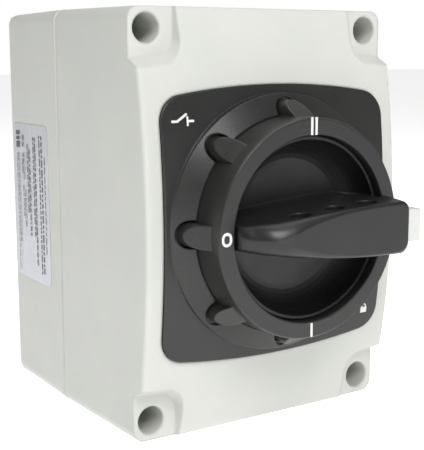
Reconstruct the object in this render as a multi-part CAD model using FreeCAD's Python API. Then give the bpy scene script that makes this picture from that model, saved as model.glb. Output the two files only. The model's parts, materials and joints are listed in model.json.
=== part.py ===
import FreeCAD, Part
import math
import os

# Rotary changeover isolator in a moulded wall box. Millimetres.
# X is to the right, Z is up, and the wall plane is y = 0 with the front facing -Y.
# Depths are distances in front of the wall, so a point at depth d has y = -d.

os.makedirs("parts", exist_ok=True)

# ---------------------------------------------------------------- driving dimensions
BOX_W = 110.6            # widest outside width, at the seam
BOX_H = 151.8            # tallest outside height, at the seam
BOX_DRAFT = 0.6          # how much each side leans in by the back and by the front
BOX_WALL = 3.5
BOX_CORNER_R = 4.5
SEAM_DEPTH = 48.2        # base and cover meet here
CORNER_DEPTH = 103.6     # flats around the four cover screws
FACE_DEPTH = 114.8       # crown of the curved front face
FACE_SAG = 9.56          # how far the curved face has fallen back by the top and bottom edges
BACK_EDGE_R = 3.0
SEAM_CHAMFER = 0.5

SCREW_INSET = 7.85       # cover screws, from the widest outside
SCREW_WELL_R = 5.1       # wells that take the screwdriver
SCREW_SHELF_DEPTH = 62.0
M4_R = 2.0
M4_HEAD_R = 3.6
CLEAR_HOLE = 0.2         # radial room round a plain screw shank
RECESS_W = 17.8          # corner recesses, from the widest outside
RECESS_H = 18.3
RECESS_LEAN_X = 0.8      # lean of the recess walls over RECESS_LEAN_DEPTH
RECESS_LEAN_Z = 4.2
RECESS_LEAN_DEPTH = 8.4
RECESS_BEND = 9.0

GROOVE_W = 1.7           # gasket groove in the base rim
GROOVE_DEPTH = 2.0
GROOVE_EDGE = 0.9        # rim left outside the groove
GASKET_T = 1.2
TONGUE_SIDE_GAP = 0.3
PILLAR_W = 18.7          # corner pillars, from the widest outside
PILLAR_H = 18.8

PLATE_W = 96.0           # black front plate
PLATE_H_MID = 97.6       # its height on the centre line
PLATE_H_SIDE = 89.0      # its height where the corner rounding starts
PLATE_CORNER_R = 9.2
PLATE_PROUD = 1.0
PLATE_LET_IN = 1.2       # how far the plate is let into the cover
PLATE_GAP = 0.15
SKIRT_R = 46.0           # foot of the conical skirt
SKIRT_TOP_DEPTH = 120.0
RING_R = 38.5            # fixed legend ring
RING_BORE_R = 32.3
RING_FRONT_DEPTH = 133.6
RING_EDGE = 0.7          # edge break round the front of the ring
RING_GAP = 0.15
LOBES = 8                # keyed lobes of the ring, in pockets of the skirt
POCKET_R_OUT = 44.8
POCKET_HALF_W = 4.8
LOBE_R_OUT = 43.8
LOBE_HALF_W = 4.1
LOBE_TIP_DEPTH = 120.0
LOBE_ROOT_DEPTH = 128.6
NECK_R = 11.9
NECK_END_DEPTH = 100.0
NECK_GAP = 0.2

HANDLE_GAP = 0.4         # room between the turning bowl and the fixed ring
BOWL_FLOOR_DEPTH = 118.8
BOWL_FLOOR_T = 2.4
BOWL_LIP_DEPTH = 130.6
BOWL_LIP_W = 1.2
BOWL_BEND_R = 9.0
HUB_R = 9.0
HUB_END_DEPTH = 96.6
HUB_RUN_FIT = 0.06       # radial running fit of the hub in the neck
GRIP_FRONT_DEPTH = 147.6
GRIP_UNDER_DEPTH = 134.1 # underside of the grip where it passes over the ring
GRIP_END_X = 34.0        # square end, at the underside
GRIP_END_LEAN = 2.0      # how far that end leans in by the front
GRIP_CORNER_R = 3.8      # rounding of the square end's corners
GRIP_HALF_W = 9.2
GRIP_EDGE = 0.9          # edge break round the front of the grip
GRIP_BULGE = 0.15        # how far the rolled edges bow out, as a share of their width
GRIP_FOOT_W = 3.6        # flare of the grip's foot in the bowl
GRIP_FOOT_H = 5.0
FOOT_SAG = 0.27          # middle of the flare's hollow curve, as a share of its sides
GRIP_SECTIONS = 25
# Cross-sections from the pointer nose to the square end:
# (x, half width, drop of the front, width and height of the rolled edge)
GRIP_STATIONS = [
    (-31.8, 3.7, 12.3, 3.0, 3.6),
    (-29.6, 4.4, 8.2, 4.0, 5.0),
    (-27.0, 4.95, 4.7, 4.7, 6.0),
    (-24.0, 5.45, 2.0, 4.9, 6.4),
    (-20.0, 5.95, 0.5, 4.4, 6.0),
    (-16.0, 6.4, 0.0, 3.6, 5.0),
    (-10.0, 7.0, 0.0, 2.4, 3.3),
    (-3.0, 7.65, 0.0, 1.5, 1.9),
    (6.0, 8.35, 0.0, 1.0, 1.2),
    (18.0, 8.95, 0.0, 0.9, 1.0),
    (40.0, 9.3, 0.0, 0.9, 1.0),
]

SLIDE_DEPTH = 140.45     # middle of the locking slide
SLIDE_T = 9.9
SLIDE_HEAD_HALF_W = 5.7
SLIDE_BAR_HALF_W = 3.8
SLIDE_HEAD_X = 27.0      # where the head starts
SLIDE_END_X = 39.5
SLIDE_TIP_R = 1.4        # rounding of the head's outer edges
SLIDE_TRAVEL = 5.0
SLIDE_GAP = 0.3
SLIDE_TAIL_WALL = 1.6    # slide left beyond its last hole
LOCK_HOLE_R = 3.75       # padlock holes through the grip
LOCK_HOLE_ROOM = 0.15    # how much larger the slide's holes are
LOCK_HOLE_DEPTH = 140.4
LOCK_HOLE_PITCH = 14.4
LOCK_HOLE_FIRST_X = -11.0
STOP_PIN_R = 1.0
STOP_PIN_X = 28.6
STOP_PIN_REACH = 1.6     # how far the pin reaches into the slide's slot
STOP_SLOT_DEEP = 2.2

SHAFT_SIDE = 8.0         # square drive shaft
SHAFT_FRONT_DEPTH = 113.0
SHAFT_FIT = 0.05
JOURNAL_R = 3.9
JOURNAL_RUN_FIT = 0.05
JOURNAL_WALL = 2.5       # floor left behind the journal's bore

RAIL_BACK_DEPTH = 8.0    # top-hat rail 35 x 7.5
RAIL_W = 35.0
RAIL_CROWN_W = 27.0
RAIL_H = 7.5
RAIL_T = 1.0
RAIL_LENGTH = 88.0
RAIL_SCREW_INSET = 6.0   # from each end of the rail

STACK_W = 48.0           # switch body
STACK_H = 54.0
STACK_CORNER_R = 3.0
FOOT_FRONT_DEPTH = 24.0
DETENT_FRONT_DEPTH = 40.0
DECKS = 4
DECK_PITCH = 10.0
DECK_FLOOR = 2.0
DECK_CAVITY_R = 16.0
END_PLATE_T = 3.0
TIE_X = 19.0
TIE_Z = 21.5
ROTOR_HUB_R = 7.0
ROTOR_GAP = 0.3
BLADE_R = 15.2           # reach of the moving contact
BLADE_HALF_W = 3.0
BLADE_T = 1.2
JAW_GAP = 0.4            # room each side of the blade in the fixed jaws
JAW_T = 1.0
JAW_R = 11.6

WALL_HOLE_X = 30.0
WALL_HOLE_Z = 62.0
WALL_HOLE_R = 2.6
WALL_PAD_DEPTH = 6.0
ENTRY_X = 20.0           # cable entry knockouts in the top and bottom walls
ENTRY_DEPTH = 24.0
ENTRY_R = 12.5
ENTRY_WEB = 1.3
ENTRY_SCORE_W = 0.8
PAD_R = 6.0              # pads under the wall screws, the rail screws and the plate screws

INSERT_R = 3.1           # brass inserts that take the cover screws
INSERT_BACK_DEPTH = 34.0
SCREW_TIP_ROOM = 4.0     # blind hole beyond each insert
SCREW_SEAL_T = 1.0
SCREW_SEAL_R = 4.2
SCREW_HEAD_H = 3.0
SCREW_HEAD_EDGE_R = 0.8
CROSS_SIZE = 2.0         # half length of the cross recess in an M4 head
SLOT_W = 0.8             # width of a plain screw slot
FACE_EDGE_R = 1.4

PLATE_SCREW_R = 1.5
PLATE_HEAD_R = 2.9
PLATE_HEAD_H = 2.2
PLATE_BOSS_R = 3.2
PLATE_PAD_DEPTH = 106.6
PLATE_SCREW_RADIUS = 30.0
PLATE_MARK_SINK = 0.2    # plain pictograms on the plate: a switch symbol and a padlock
MARK_STROKE = 0.8
SYMBOL_X = -39.6
SYMBOL_Z = 37.4
SYMBOL_BLADE_DEG = 32.0
SYMBOL_BLADE_LENGTH = 4.6
PADLOCK_X = 41.6
PADLOCK_Z = -38.0
PADLOCK_BOW_R = 1.15

# Legends: a nought at nine o'clock, one bar at six and two bars at twelve.
LEGEND_SINK = 0.2
LEGEND_STROKE = 0.95
NOUGHT_W = 4.0
NOUGHT_H = 4.7
ONE_H = 4.9
TWO_H = 6.0
BAR_SPREAD = 0.93        # half the distance between the two bars

SEAL_R_OUT = 10.9        # sealing ring round the hub
SEAL_NEAR = 108.2
SEAL_FAR = 110.6
CLIP_NEAR = 97.4
CLIP_FAR = 98.5
CLIP_GROOVE_R = 8.3
CLIP_R_OUT = 10.9
CLIP_OPEN_HALF_W = 2.2
WASHER_T = 1.2
WASHER_R_OUT = 13.5

SHAFT_BACK_DEPTH = 34.2
DETENT_FLOOR_DEPTH = 33.0
DISC_R = 14.0
DISC_FRONT_DEPTH = 39.6
STOP_LUG_R = 17.0
STOP_LUG_DEG = 10.0
STOP_TRAVEL_DEG = 92.0
BALL_R = 2.0
BALL_RING_R = 10.0
BALL_DEPTH = 31.6
BALL_ANGLES = (45.0, 225.0)
DIMPLE_ANGLES = (45.0, 135.0, 225.0, 315.0)
DETENT_SPRING_WIRE_R = 0.3
DETENT_SPRING_BACK = 25.6
DETENT_SPRING_TURNS = 3

# Directions of the three fixed contacts of a deck: common, position one and position two.
CONTACTS = {"common": 0.0, "one": 270.0, "two": 90.0}
LEAD_HALF_W = 3.5
LEAD_T = 1.2
LEAD_REACH = 1.2         # how far the leads stand out of the decks
CHANNEL_HALF_W = 4.7
CLAMP_LENGTH = 6.5
CLAMP_HALF_W = 4.3
CLAMP_HALF_D = 3.6
WIRE_ENTRY_R = 1.7
WIRE_ENTRY_REACH = 3.4
TERMINAL_SCREW_R = 1.5
TERMINAL_HEAD_R = 2.9
TERMINAL_HEAD_H = 2.0
TIE_HEAD_H = 2.6

RAIL_SCREW_R = 1.7
RAIL_SCREW_TIP = 4.2
RAIL_HEAD_H = 2.4
HOOK_T = 3.0             # hooks of the foot round the rail's flanges
EARTH_X = -40.0
EARTH_BACK_DEPTH = 7.0
EARTH_SCREW_R = 1.6
EARTH_POST_Z = (-46.0, -24.0)
EARTH_POST_R = 4.0
EARTH_SIDE = 8.0
EARTH_BAR_END = 5.0      # bar left beyond its fixing screws
EARTH_WIRE_R = 2.0

LABEL_NEAR = 4.0
LABEL_FAR = 38.5
LABEL_HALF_H = 31.8
LABEL_CORNER_R = 3.0
LABEL_T = 0.2

# ---------------------------------------------------------------- values worked out
HALF_W = BOX_W / 2
HALF_H = BOX_H / 2
FACE_RADIUS = (HALF_H ** 2 + FACE_SAG ** 2) / (2 * FACE_SAG)
SCREW_X = HALF_W - SCREW_INSET
SCREW_Z = HALF_H - SCREW_INSET
RECESS_X = HALF_W - RECESS_W
RECESS_Z = HALF_H - RECESS_H
PILLAR_X = HALF_W - PILLAR_W
PILLAR_Z = HALF_H - PILLAR_H
DECK_START = DETENT_FRONT_DEPTH
STACK_END = DECK_START + DECKS * DECK_PITCH
PLATE_DEPTH = FACE_DEPTH + PLATE_PROUD
BOWL_R = RING_BORE_R - HANDLE_GAP
LOCK_HOLE_X = [LOCK_HOLE_FIRST_X + i * LOCK_HOLE_PITCH for i in range(3)]
NECK_BORE_R = HUB_R + HUB_RUN_FIT
SLIDE_NEAR = SLIDE_DEPTH - SLIDE_T / 2
SLIDE_FAR = SLIDE_DEPTH + SLIDE_T / 2
SLIDE_TAIL_X = LOCK_HOLE_FIRST_X - LOCK_HOLE_R - SLIDE_TAIL_WALL
SLIDE_TAIL_ROUND_X = SLIDE_TAIL_X + SLIDE_BAR_HALF_W
DETENT_BACK_DEPTH = FOOT_FRONT_DEPTH
RAIL_SCREW_X = RAIL_LENGTH / 2 - RAIL_SCREW_INSET
LEGEND_RADIUS = (RING_R + RING_BORE_R) / 2
PLATE_SCREW_XZ = PLATE_SCREW_RADIUS * math.sqrt(0.5)
FULL_TURN = 360.0
BIG = 400.0              # longer than the whole object, for cutting tools


# ---------------------------------------------------------------- helpers
def point(x, depth, z):
    return FreeCAD.Vector(x, -depth, z)


def bar(radius, near, far, x=0.0, z=0.0):
    """Round bar along the depth axis."""
    return Part.makeCylinder(radius, far - near, point(x, near, z), FreeCAD.Vector(0, -1, 0))


def taper(radius_near, radius_far, near, far, x=0.0, z=0.0):
    return Part.makeCone(radius_near, radius_far, far - near, point(x, near, z),
                         FreeCAD.Vector(0, -1, 0))


def block(x0, x1, near, far, z0, z1):
    return Part.makeBox(x1 - x0, far - near, z1 - z0, FreeCAD.Vector(x0, -far, z0))


def prism(corners, near, far):
    """Straight-sided solid from (x, z) corners, between two depths."""
    loop = [point(x, near, z) for x, z in corners]
    face = Part.Face(Part.makePolygon(loop + loop[:1]))
    return face.extrude(FreeCAD.Vector(0, near - far, 0))


def rounded_wire(half_w, half_h, radius, depth):
    """Rounded rectangle in a plane of constant depth."""
    edges = []
    bends = [(1, 1, 0.0), (-1, 1, 90.0), (-1, -1, 180.0), (1, -1, 270.0)]
    arcs = []
    for side_x, side_z, start in bends:
        cx = side_x * (half_w - radius)
        cz = side_z * (half_h - radius)
        ends = []
        for angle in (start, start + 45.0, start + 90.0):
            a = math.radians(angle)
            ends.append(point(cx + radius * math.cos(a), depth, cz + radius * math.sin(a)))
        arcs.append(ends)
    for i, ends in enumerate(arcs):
        edges.append(Part.Arc(*ends).toShape())
        edges.append(Part.makeLine(ends[2], arcs[(i + 1) % 4][0]))
    return Part.Wire(edges)


def rounded_block(half_w, half_h, radius, near, far, grow=0.0):
    """Rounded rectangle between two depths, larger by grow on each side at the far end."""
    first = rounded_wire(half_w, half_h, radius, near)
    last = rounded_wire(half_w + grow, half_h + grow, radius, far)
    return Part.makeLoft([first, last], True, True)


def rim_chamfer(half_w, half_h, near, shrink_near, shrink_far):
    """Cutter that breaks the outer edge of a rim over one chamfer's depth."""
    far = near + SEAM_CHAMFER
    core = rounded_block(half_w - shrink_near, half_h - shrink_near, BOX_CORNER_R, near, far,
                         shrink_near - shrink_far)
    return rounded_block(half_w + 2.0, half_h + 2.0, BOX_CORNER_R + 2.0, near, far).cut(core)


def revolve(profile):
    """Turn (radius, depth) corners about the knob axis."""
    loop = [point(r, d, 0.0) for r, d in profile]
    face = Part.Face(Part.makePolygon(loop + loop[:1]))
    return face.revolve(FreeCAD.Vector(0, 0, 0), FreeCAD.Vector(0, 1, 0), FULL_TURN)


def turned(shape, angle):
    """Copy turned about the knob axis, anticlockwise as seen from the front."""
    copy = shape.copy()
    copy.rotate(FreeCAD.Vector(0, 0, 0), FreeCAD.Vector(0, -1, 0), angle)
    return copy


def fuse(shapes):
    return shapes[0].multiFuse(shapes[1:]).removeSplitter()


def four(x, z):
    return [(x, z), (-x, z), (-x, -z), (x, -z)]


def plate_screw_places():
    return four(PLATE_SCREW_XZ, PLATE_SCREW_XZ)


def save(name, shapes):
    """Write one node, which may hold several separate solids."""
    shapes = shapes if isinstance(shapes, list) else [shapes]
    solids = [solid for shape in shapes for solid in shape.Solids]
    shape = solids[0] if len(solids) == 1 else Part.makeCompound(solids)
    shape.exportStep("parts/" + name + ".step")
    print(name, len(solids), "solids", shape.isValid(), round(shape.Volume, 1))
    return shape


def face_bend(offset=0.0):
    """Solid whose front is the curved face of the box, moved forward by offset."""
    radius = FACE_RADIUS + offset
    centre = FreeCAD.Vector(-BIG / 2, FACE_RADIUS - FACE_DEPTH, 0)
    return Part.makeCylinder(radius, BIG, centre, FreeCAD.Vector(1, 0, 0))


def notched(half_w, half_h, notch_x, notch_z, near, far):
    """Rectangle with its four corners cut out square."""
    corners = [(half_w, notch_z), (notch_x, notch_z), (notch_x, half_h),
               (-notch_x, half_h), (-notch_x, notch_z), (-half_w, notch_z),
               (-half_w, -notch_z), (-notch_x, -notch_z), (-notch_x, -half_h),
               (notch_x, -half_h), (notch_x, -notch_z), (half_w, -notch_z)]
    return prism(corners, near, far)


def groove_ring(shrink, near, far):
    """Band that follows the gasket line, narrower by shrink on each side."""
    out = GROOVE_EDGE + shrink
    inn = GROOVE_EDGE + GROOVE_W - shrink
    step = GROOVE_EDGE
    outer = notched(HALF_W - out, HALF_H - out, PILLAR_X + step + GROOVE_W - shrink,
                    PILLAR_Z + step + GROOVE_W - shrink, near, far)
    inner = notched(HALF_W - inn, HALF_H - inn, PILLAR_X + step + shrink,
                    PILLAR_Z + step + shrink, near, far)
    return outer.cut(inner)


def corner_pillars(near, far):
    reach_x = HALF_W - BOX_WALL / 2
    reach_z = HALF_H - BOX_WALL / 2
    pillars = []
    for side_x, side_z in four(1, 1):
        xs = sorted((side_x * PILLAR_X, side_x * reach_x))
        zs = sorted((side_z * PILLAR_Z, side_z * reach_z))
        pillars.append(block(xs[0], xs[1], near, far, zs[0], zs[1]))
    return pillars


def edges_at_depth(shape, depth, slack=0.01):
    """Edges that lie wholly in one plane of constant depth."""
    found = []
    for edge in shape.Edges:
        box = edge.BoundBox
        if abs(box.YMin + depth) < slack and abs(box.YMax + depth) < slack:
            found.append(edge)
    return found


# ---------------------------------------------------------------- box
def base_shell():
    """Outside of the base, leaning in towards the wall."""
    shell = rounded_block(HALF_W - BOX_DRAFT, HALF_H - BOX_DRAFT, BOX_CORNER_R,
                          0.0, SEAM_DEPTH, BOX_DRAFT)
    shell = shell.makeFillet(BACK_EDGE_R, edges_at_depth(shell, 0.0))
    return shell.cut(rim_chamfer(HALF_W, HALF_H, SEAM_DEPTH - SEAM_CHAMFER, 0.0, SEAM_CHAMFER))


def base_housing():
    body = base_shell()
    hollow = rounded_block(HALF_W - BOX_WALL - BOX_DRAFT, HALF_H - BOX_WALL - BOX_DRAFT,
                           BOX_CORNER_R, BOX_WALL, SEAM_DEPTH, BOX_DRAFT)
    body = body.cut(hollow)
    adds = corner_pillars(BOX_WALL / 2, SEAM_DEPTH)
    adds += [bar(PAD_R, BOX_WALL / 2, WALL_PAD_DEPTH, x, z) for x, z in four(WALL_HOLE_X, WALL_HOLE_Z)]
    adds += [bar(PAD_R, BOX_WALL / 2, RAIL_BACK_DEPTH, side * RAIL_SCREW_X, 0.0) for side in (-1, 1)]
    adds += [bar(EARTH_POST_R, BOX_WALL / 2, EARTH_BACK_DEPTH, EARTH_X, z) for z in EARTH_POST_Z]
    body = fuse([body] + adds)
    cuts = [groove_ring(0.0, SEAM_DEPTH - GROOVE_DEPTH, SEAM_DEPTH + 1.0)]
    for x, z in four(SCREW_X, SCREW_Z):
        cuts.append(bar(INSERT_R, INSERT_BACK_DEPTH, SEAM_DEPTH + 1.0, x, z))
        cuts.append(bar(M4_R + CLEAR_HOLE, INSERT_BACK_DEPTH - SCREW_TIP_ROOM, INSERT_BACK_DEPTH, x, z))
    cuts += [bar(WALL_HOLE_R, -1.0, WALL_PAD_DEPTH + 1.0, x, z) for x, z in four(WALL_HOLE_X, WALL_HOLE_Z)]
    for side in (-1, 1):
        cuts.append(bar(RAIL_SCREW_R, RAIL_SCREW_TIP, RAIL_BACK_DEPTH + 1.0, side * RAIL_SCREW_X, 0.0))
    cuts += [bar(EARTH_SCREW_R, BOX_WALL, EARTH_BACK_DEPTH + 1.0, EARTH_X, z) for z in EARTH_POST_Z]
    cuts += [entry_score(x, up) for x in (-ENTRY_X, ENTRY_X) for up in (1, -1)]
    return body.cut(cuts)


def entry_score(x, up):
    """Ring scored into the outside of the top or bottom wall, so the disc can be knocked out."""
    start = FreeCAD.Vector(x, -ENTRY_DEPTH, up * (HALF_H - BOX_WALL - BOX_DRAFT / 2 + ENTRY_WEB))
    along = FreeCAD.Vector(0, 0, up)
    outer = Part.makeCylinder(ENTRY_R, BOX_WALL, start, along)
    return outer.cut(Part.makeCylinder(ENTRY_R - ENTRY_SCORE_W, BOX_WALL, start, along))


def recess_outline(lean, depth):
    """Inner boundary of a corner recess, rounded where its two walls meet."""
    x = RECESS_X - lean * RECESS_LEAN_X
    z = RECESS_Z - lean * RECESS_LEAN_Z
    bend = RECESS_BEND
    mid = bend * (1 - math.sqrt(0.5))
    start = point(x, depth, z + bend)
    middle = point(x + mid, depth, z + mid + 0.4)
    end = point(x + bend, depth, z + 1.2)
    out_low = point(HALF_W + 10.0, depth, z - 0.8)
    out_high = point(HALF_W + 10.0, depth, HALF_H + 10.0)
    top = point(x, depth, HALF_H + 10.0)
    return Part.Wire([Part.makeLine(top, start), Part.Arc(start, middle, end).toShape(),
                      Part.makeLine(end, out_low), Part.makeLine(out_low, out_high),
                      Part.makeLine(out_high, top)])


def corner_recesses():
    low = recess_outline(0.0, CORNER_DEPTH)
    high = recess_outline(1.0, CORNER_DEPTH + RECESS_LEAN_DEPTH)
    first = Part.makeLoft([low, high], True, True)
    side = first.mirror(FreeCAD.Vector(0, 0, 0), FreeCAD.Vector(1, 0, 0))
    pair = [first, side]
    return pair + [s.mirror(FreeCAD.Vector(0, 0, 0), FreeCAD.Vector(0, 0, 1)) for s in pair]


def cover_shell():
    """Outside of the cover: leaning sides, curved face and four flat corner recesses."""
    reach = FACE_DEPTH + 1.0
    lean = BOX_DRAFT * (reach - SEAM_DEPTH) / (CORNER_DEPTH - SEAM_DEPTH)
    shell = rounded_block(HALF_W - 0.1, HALF_H - 0.1, BOX_CORNER_R, SEAM_DEPTH, reach, -lean)
    shell = shell.common(face_bend())
    shell = shell.makeFillet(FACE_EDGE_R, side_face_edges(shell))
    shell = shell.cut(rim_chamfer(HALF_W, HALF_H, SEAM_DEPTH, SEAM_CHAMFER + 0.1, 0.1))
    return shell.cut(corner_recesses())


def side_face_edges(shape):
    """The long curved edges down each side of the front face, and its level ends."""
    found = []
    for edge in shape.Edges:
        box = edge.BoundBox
        if box.YMax < -CORNER_DEPTH and (box.ZLength > HALF_H or box.XLength > HALF_W):
            found.append(edge)
    return found


def cover_housing():
    body = cover_shell()
    floor = CORNER_DEPTH - BOX_WALL
    hollow = rounded_block(HALF_W - BOX_WALL, HALF_H - BOX_WALL, BOX_CORNER_R,
                           SEAM_DEPTH, floor, -BOX_DRAFT)
    middle = block(-(RECESS_X - BOX_WALL - 0.5), RECESS_X - BOX_WALL - 0.5, SEAM_DEPTH, FACE_DEPTH,
                   -(HALF_H - BOX_WALL - BOX_DRAFT), HALF_H - BOX_WALL - BOX_DRAFT)
    band_z = RECESS_Z - RECESS_LEAN_Z - BOX_WALL
    band = block(-(HALF_W - BOX_WALL - BOX_DRAFT), HALF_W - BOX_WALL - BOX_DRAFT,
                 SEAM_DEPTH, FACE_DEPTH, -band_z, band_z)
    upper = middle.fuse(band).common(face_bend(-BOX_WALL - PLATE_LET_IN))
    hollow = hollow.cut(corner_pillars(SEAM_DEPTH - 1.0, floor + 1.0)).fuse(upper)
    body = body.cut(hollow)
    tongue = groove_ring(TONGUE_SIDE_GAP, SEAM_DEPTH - GROOVE_DEPTH + GASKET_T, SEAM_DEPTH)
    pads = [bar(PAD_R, PLATE_PAD_DEPTH, FACE_DEPTH - BOX_WALL, x, z) for x, z in plate_screw_places()]
    body = fuse([body, tongue] + pads)
    cuts = [plate_outline(PLATE_GAP, FACE_DEPTH - 12.0, FACE_DEPTH + 2.0).cut(face_bend(-PLATE_LET_IN))]
    cuts.append(bar(NECK_R + NECK_GAP, NECK_END_DEPTH, PLATE_DEPTH))
    for x, z in plate_screw_places():
        cuts.append(bar(PLATE_SCREW_R + CLEAR_HOLE, NECK_END_DEPTH, PLATE_DEPTH, x, z))
        cuts.append(bar(PLATE_BOSS_R + CLEAR_HOLE, PLATE_PAD_DEPTH + 2.0, PLATE_DEPTH, x, z))
    for x, z in four(SCREW_X, SCREW_Z):
        cuts.append(bar(SCREW_WELL_R, SCREW_SHELF_DEPTH, CORNER_DEPTH + 2.0, x, z))
        cuts.append(taper(SCREW_WELL_R, SCREW_WELL_R + 1.0, CORNER_DEPTH - 0.5, CORNER_DEPTH + 0.5, x, z))
        cuts.append(bar(M4_R + CLEAR_HOLE, SEAM_DEPTH - 3.0, SCREW_SHELF_DEPTH, x, z))
    return body.cut(cuts)


def cover_gasket():
    return groove_ring(0.0, SEAM_DEPTH - GROOVE_DEPTH, SEAM_DEPTH - GROOVE_DEPTH + GASKET_T)


def cross_slot(x, z, depth, cut_depth):
    """Cross recess in a screw head that faces the front."""
    size = CROSS_SIZE
    wide = block(x - size, x + size, depth - cut_depth, depth + 1.0, z - size / 4, z + size / 4)
    tall = block(x - size / 4, x + size / 4, depth - cut_depth, depth + 1.0, z - size, z + size)
    return wide.fuse(tall)


def cover_screws():
    under = SCREW_SHELF_DEPTH + SCREW_SEAL_T
    screws = []
    for x, z in four(SCREW_X, SCREW_Z):
        shank = bar(M4_R, INSERT_BACK_DEPTH + 1.0, under, x, z)
        head = bar(M4_HEAD_R, under, under + SCREW_HEAD_H, x, z)
        head = head.makeFillet(SCREW_HEAD_EDGE_R, edges_at_depth(head, under + SCREW_HEAD_H))
        slot = cross_slot(x, z, under + SCREW_HEAD_H, 1.6)
        screws.append(shank.fuse(head).cut(slot))
    return screws


def screw_seals():
    """Rubber washers under the cover screw heads."""
    seals = []
    for x, z in four(SCREW_X, SCREW_Z):
        ring = bar(SCREW_SEAL_R, SCREW_SHELF_DEPTH, SCREW_SHELF_DEPTH + SCREW_SEAL_T, x, z)
        seals.append(ring.cut(bar(M4_R, SCREW_SHELF_DEPTH - 1.0, SCREW_SHELF_DEPTH + 2.0, x, z)))
    return seals


def screw_inserts():
    """Brass threaded inserts moulded into the base pillars."""
    inserts = []
    for x, z in four(SCREW_X, SCREW_Z):
        sleeve = bar(INSERT_R, INSERT_BACK_DEPTH, SEAM_DEPTH - 1.0, x, z)
        inserts.append(sleeve.cut(bar(M4_R, INSERT_BACK_DEPTH - 1.0, SEAM_DEPTH, x, z)))
    return inserts


# ---------------------------------------------------------------- front plate and ring
def plate_outline(grow, near, far):
    """Front plate outline: straight sides, bowed top and bottom, rounded corners."""
    half_w = PLATE_W / 2 + grow
    mid_h = PLATE_H_MID / 2 + grow
    side_h = PLATE_H_SIDE / 2 + grow
    right_low = point(half_w, near, -side_h)
    right_high = point(half_w, near, side_h)
    left_high = point(-half_w, near, side_h)
    left_low = point(-half_w, near, -side_h)
    edges = [Part.makeLine(right_low, right_high),
             Part.Arc(right_high, point(0, near, mid_h), left_high).toShape(),
             Part.makeLine(left_high, left_low),
             Part.Arc(left_low, point(0, near, -mid_h), right_low).toShape()]
    sheet = Part.Face(Part.Wire(edges)).extrude(FreeCAD.Vector(0, near - far, 0))
    corners = [e for e in sheet.Edges if e.BoundBox.YLength > far - near - 0.01]
    return sheet.makeFillet(PLATE_CORNER_R + grow, corners)


def radial_slot(half_w, reach, near, far):
    """Round-ended slot that runs out from the knob axis along +X."""
    flat = block(0.0, reach - half_w, near, far, -half_w, half_w)
    return flat.fuse(bar(half_w, near, far, reach - half_w, 0.0))


def escutcheon():
    sheet = plate_outline(0.0, FACE_DEPTH - 14.0, FACE_DEPTH + 4.0)
    sheet = sheet.common(face_bend(PLATE_PROUD)).cut(face_bend(-PLATE_LET_IN))
    foot = bar(SKIRT_R, FACE_DEPTH - 8.0, PLATE_DEPTH).cut(face_bend(-PLATE_LET_IN))
    skirt = taper(SKIRT_R, RING_R, PLATE_DEPTH, SKIRT_TOP_DEPTH)
    neck = bar(NECK_R, NECK_END_DEPTH, PLATE_DEPTH)
    bosses = [bar(PLATE_BOSS_R, PLATE_PAD_DEPTH + 2.0, PLATE_DEPTH, x, z) for x, z in plate_screw_places()]
    body = fuse([sheet, foot, skirt, neck] + bosses)
    cuts = [bar(RING_R + RING_GAP, PLATE_DEPTH, SKIRT_TOP_DEPTH + 1.0)]
    cuts.append(bar(NECK_BORE_R, NECK_END_DEPTH - 1.0, PLATE_DEPTH + 1.0))
    cuts.append(bar(SEAL_R_OUT, SEAL_NEAR, SEAL_FAR))
    slot = radial_slot(POCKET_HALF_W, POCKET_R_OUT, PLATE_DEPTH, SKIRT_TOP_DEPTH + 1.0)
    cuts += [turned(slot, i * FULL_TURN / LOBES) for i in range(LOBES)]
    for x, z in plate_screw_places():
        cuts.append(bar(PLATE_SCREW_R, PLATE_PAD_DEPTH, PLATE_DEPTH - 1.0, x, z))
    cuts += mark_prisms(PLATE_MARK_SINK)
    return body.cut(cuts)


def escutcheon_screws():
    screws = []
    for x, z in plate_screw_places():
        shank = bar(PLATE_SCREW_R, PLATE_PAD_DEPTH, PLATE_DEPTH - 1.5, x, z)
        back = PLATE_PAD_DEPTH - PLATE_HEAD_H
        head = bar(PLATE_HEAD_R, back, PLATE_PAD_DEPTH, x, z)
        slot = block(x - PLATE_BOSS_R, x + PLATE_BOSS_R, back - 1.0, back + 1.0,
                     z - SLOT_W / 2, z + SLOT_W / 2)
        screws.append(shank.fuse(head).cut(slot))
    return screws


def legend_ring():
    """Fixed collar that carries the position legends, keyed by its lobes."""
    edge = RING_EDGE
    profile = [(RING_BORE_R, PLATE_DEPTH), (RING_R, PLATE_DEPTH),
               (RING_R - 0.2, RING_FRONT_DEPTH - edge), (RING_R - edge, RING_FRONT_DEPTH),
               (RING_BORE_R + edge / 2, RING_FRONT_DEPTH), (RING_BORE_R, RING_FRONT_DEPTH - edge / 2)]
    body = revolve(profile)
    root = RING_R - 2.0
    ramp = [(root, PLATE_DEPTH), (LOBE_R_OUT, PLATE_DEPTH), (LOBE_R_OUT, LOBE_TIP_DEPTH),
            (RING_R - 0.3, LOBE_ROOT_DEPTH), (root, LOBE_ROOT_DEPTH)]
    loop = [point(r, d, -LOBE_HALF_W) for r, d in ramp]
    wedge = Part.Face(Part.makePolygon(loop + loop[:1])).extrude(FreeCAD.Vector(0, 0, 2 * LOBE_HALF_W))
    wedge = wedge.common(radial_slot(LOBE_HALF_W, LOBE_R_OUT, PLATE_DEPTH, RING_FRONT_DEPTH))
    lobes = [turned(wedge, i * FULL_TURN / LOBES) for i in range(LOBES)]
    return fuse([body] + lobes).cut(legend_prisms(LEGEND_SINK))


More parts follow.
